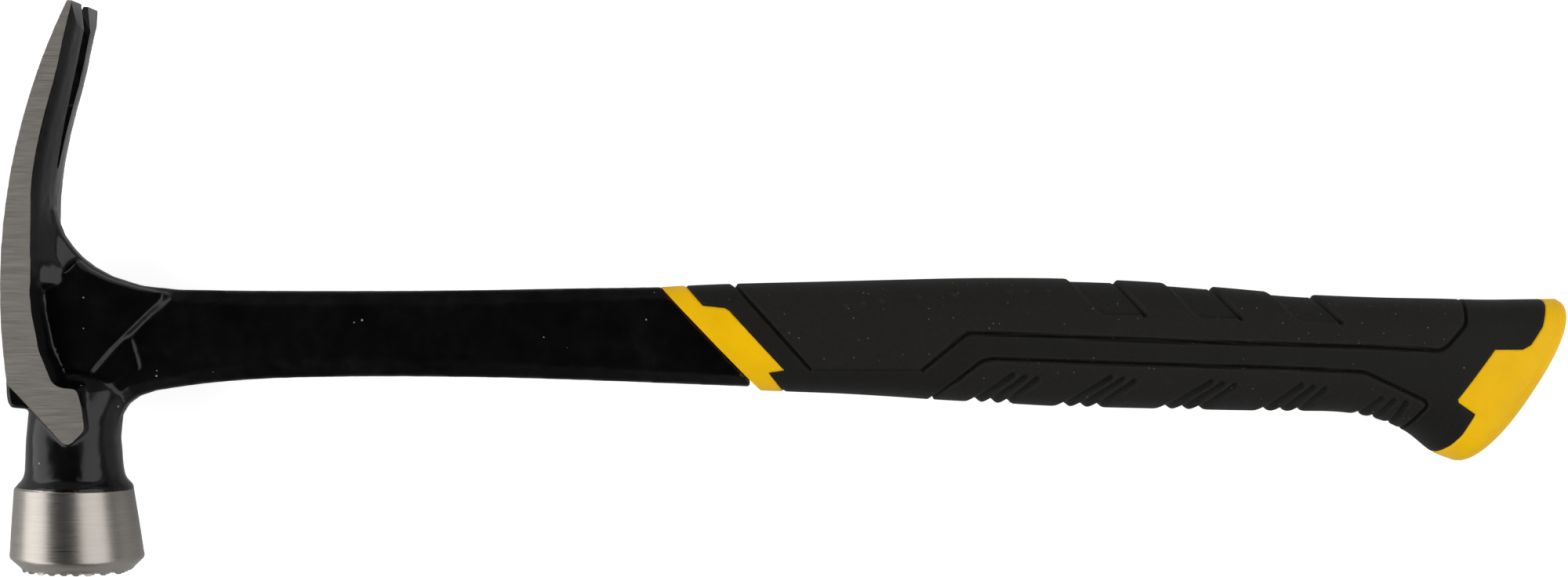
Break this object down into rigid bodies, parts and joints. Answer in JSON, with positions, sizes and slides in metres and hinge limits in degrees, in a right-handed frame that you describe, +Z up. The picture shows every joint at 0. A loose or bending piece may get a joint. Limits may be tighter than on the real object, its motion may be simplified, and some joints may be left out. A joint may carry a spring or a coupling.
{
  "type": "framing hammer",
  "caption": "One-piece forged framing hammer with a straight slotted rip claw, milled striking face, nail holder in the crown and a moulded grip with a hooked butt.",
  "frame": {"origin": "centre of the hammer's bounding box, on the surface it lies on", "axes": "+X along the handle from head to butt, +Y the way the claw points, +Z up from the side it lies on"},
  "size_m": [0.3958, 0.1446, 0.0332],
  "materials": {
    "forging": "satin black paint, with crown sides, claw sides and poll ground bare",
    "magnet": "nickel-plated",
    "damper": "matte",
    "yellow_plastic": "satin, yellow",
    "cover_rubber": "matte black",
    "pad_rubber": "fine-grained matte black"
  },
  "bodies": {
    "root": {"forged_body": "forging", "nail_magnet": "magnet", "fork_damper": "damper", "grip_core": "yellow_plastic", "butt_cap": "yellow_plastic", "grip_cover": "cover_rubber", "palm_pad": "pad_rubber", "finger_pad": "pad_rubber"}
  },
  "joints": []
}
